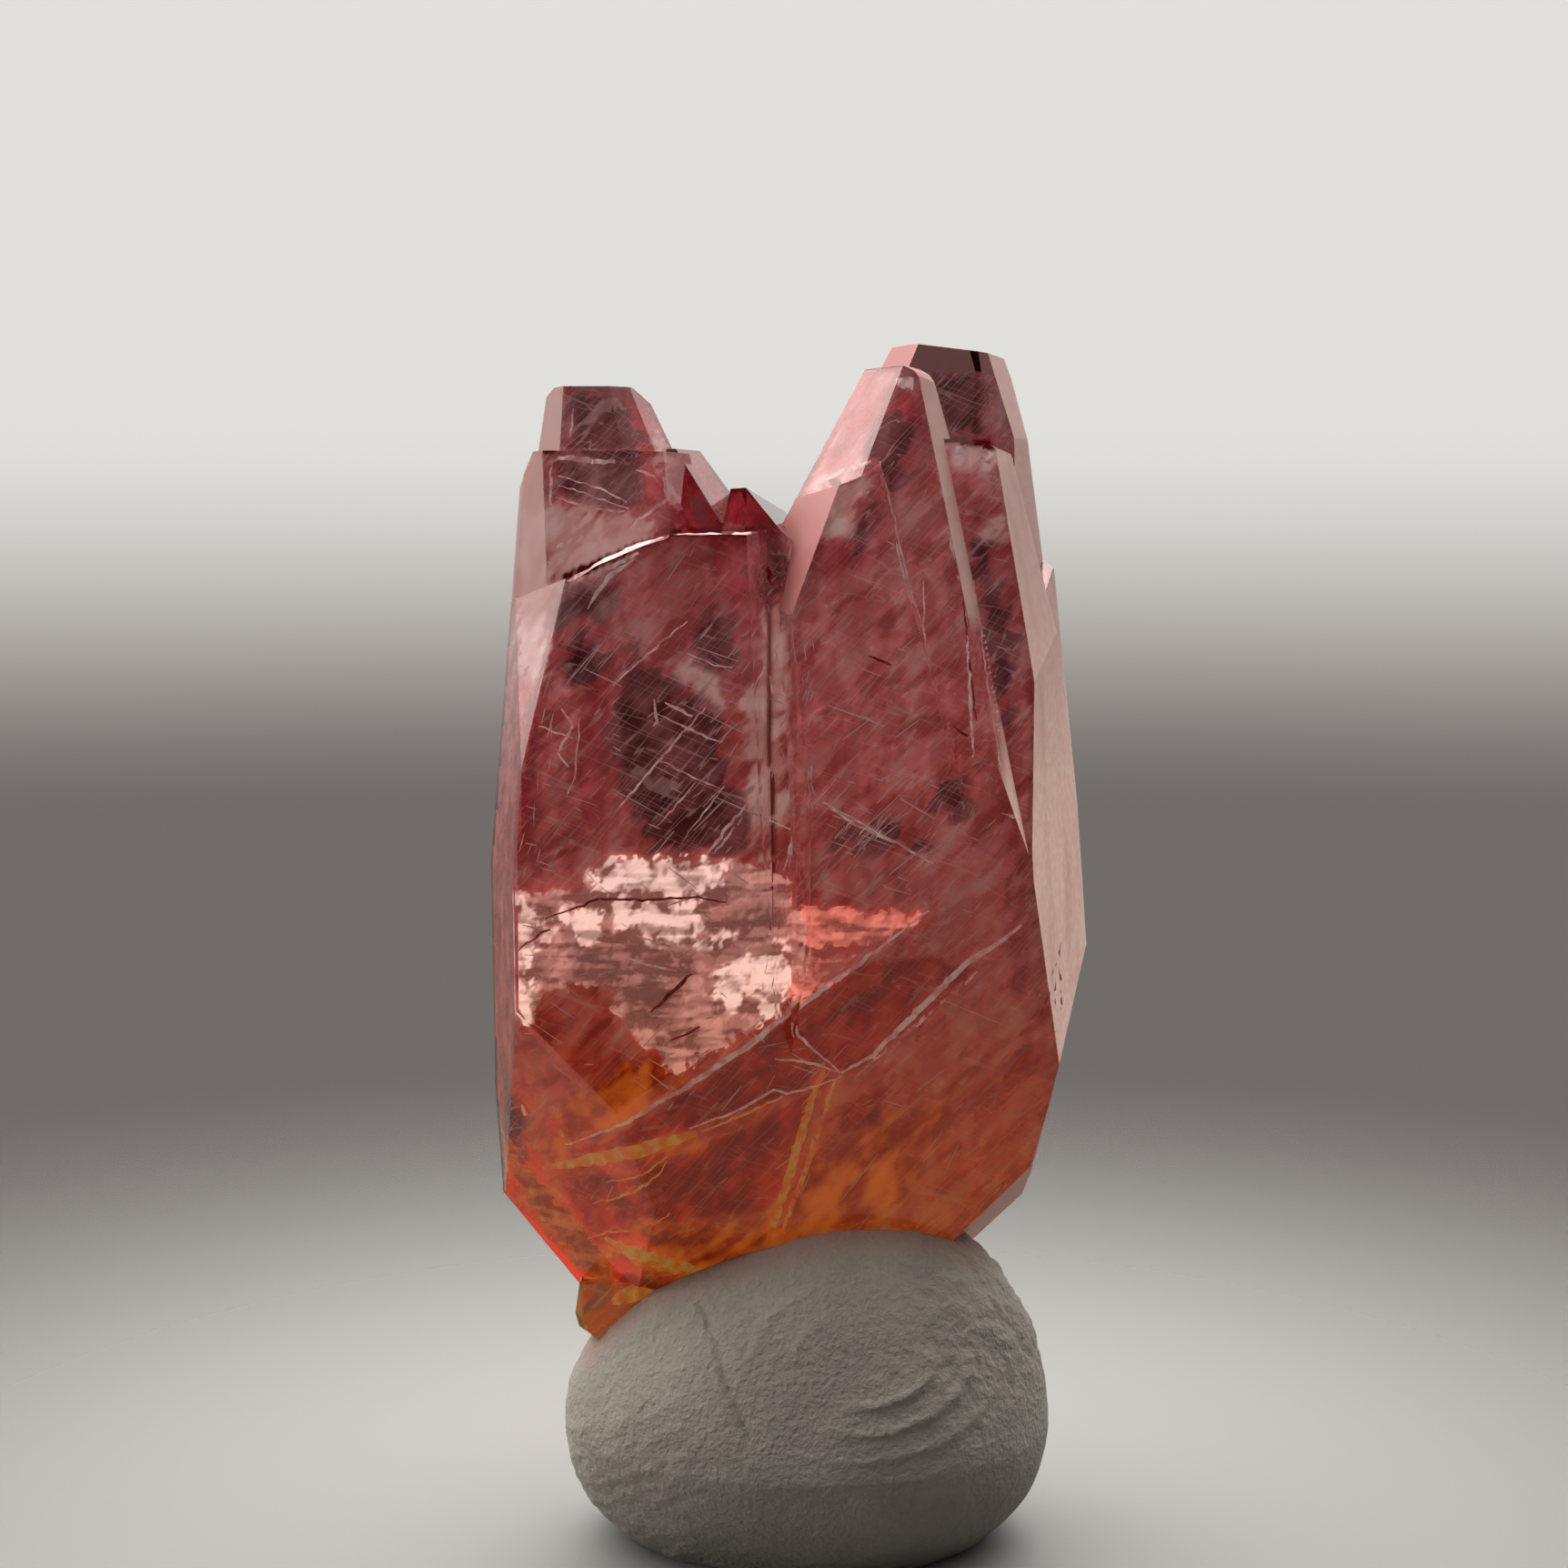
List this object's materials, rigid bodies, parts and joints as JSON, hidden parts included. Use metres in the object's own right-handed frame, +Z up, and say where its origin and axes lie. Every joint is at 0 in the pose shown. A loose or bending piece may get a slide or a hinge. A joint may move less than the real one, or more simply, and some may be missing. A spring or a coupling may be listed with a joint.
{
  "type": "rhodochrosite crystal specimen",
  "caption": "Clear pink-red to orange rhodochrosite: steep parallel crystals with notched tips, broken off at the foot, standing in a lump of grey-green putty.",
  "frame": {"origin": "on the putty's flat underside, below the middle of the whole object's box", "axes": "+Z up along the crystals, -Y towards the best side of the crystals, +X to that side's right"},
  "size_m": [0.0134, 0.01, 0.0264],
  "materials": {
    "crystal": "clear rose-red crystal, glossy growth faces with frosted steps, orange towards the foot",
    "putty": "matt grey-green putty with a finger's ridges pressed in"
  },
  "bodies": {
    "root": {"crystal": "crystal", "putty": "putty"}
  },
  "joints": []
}
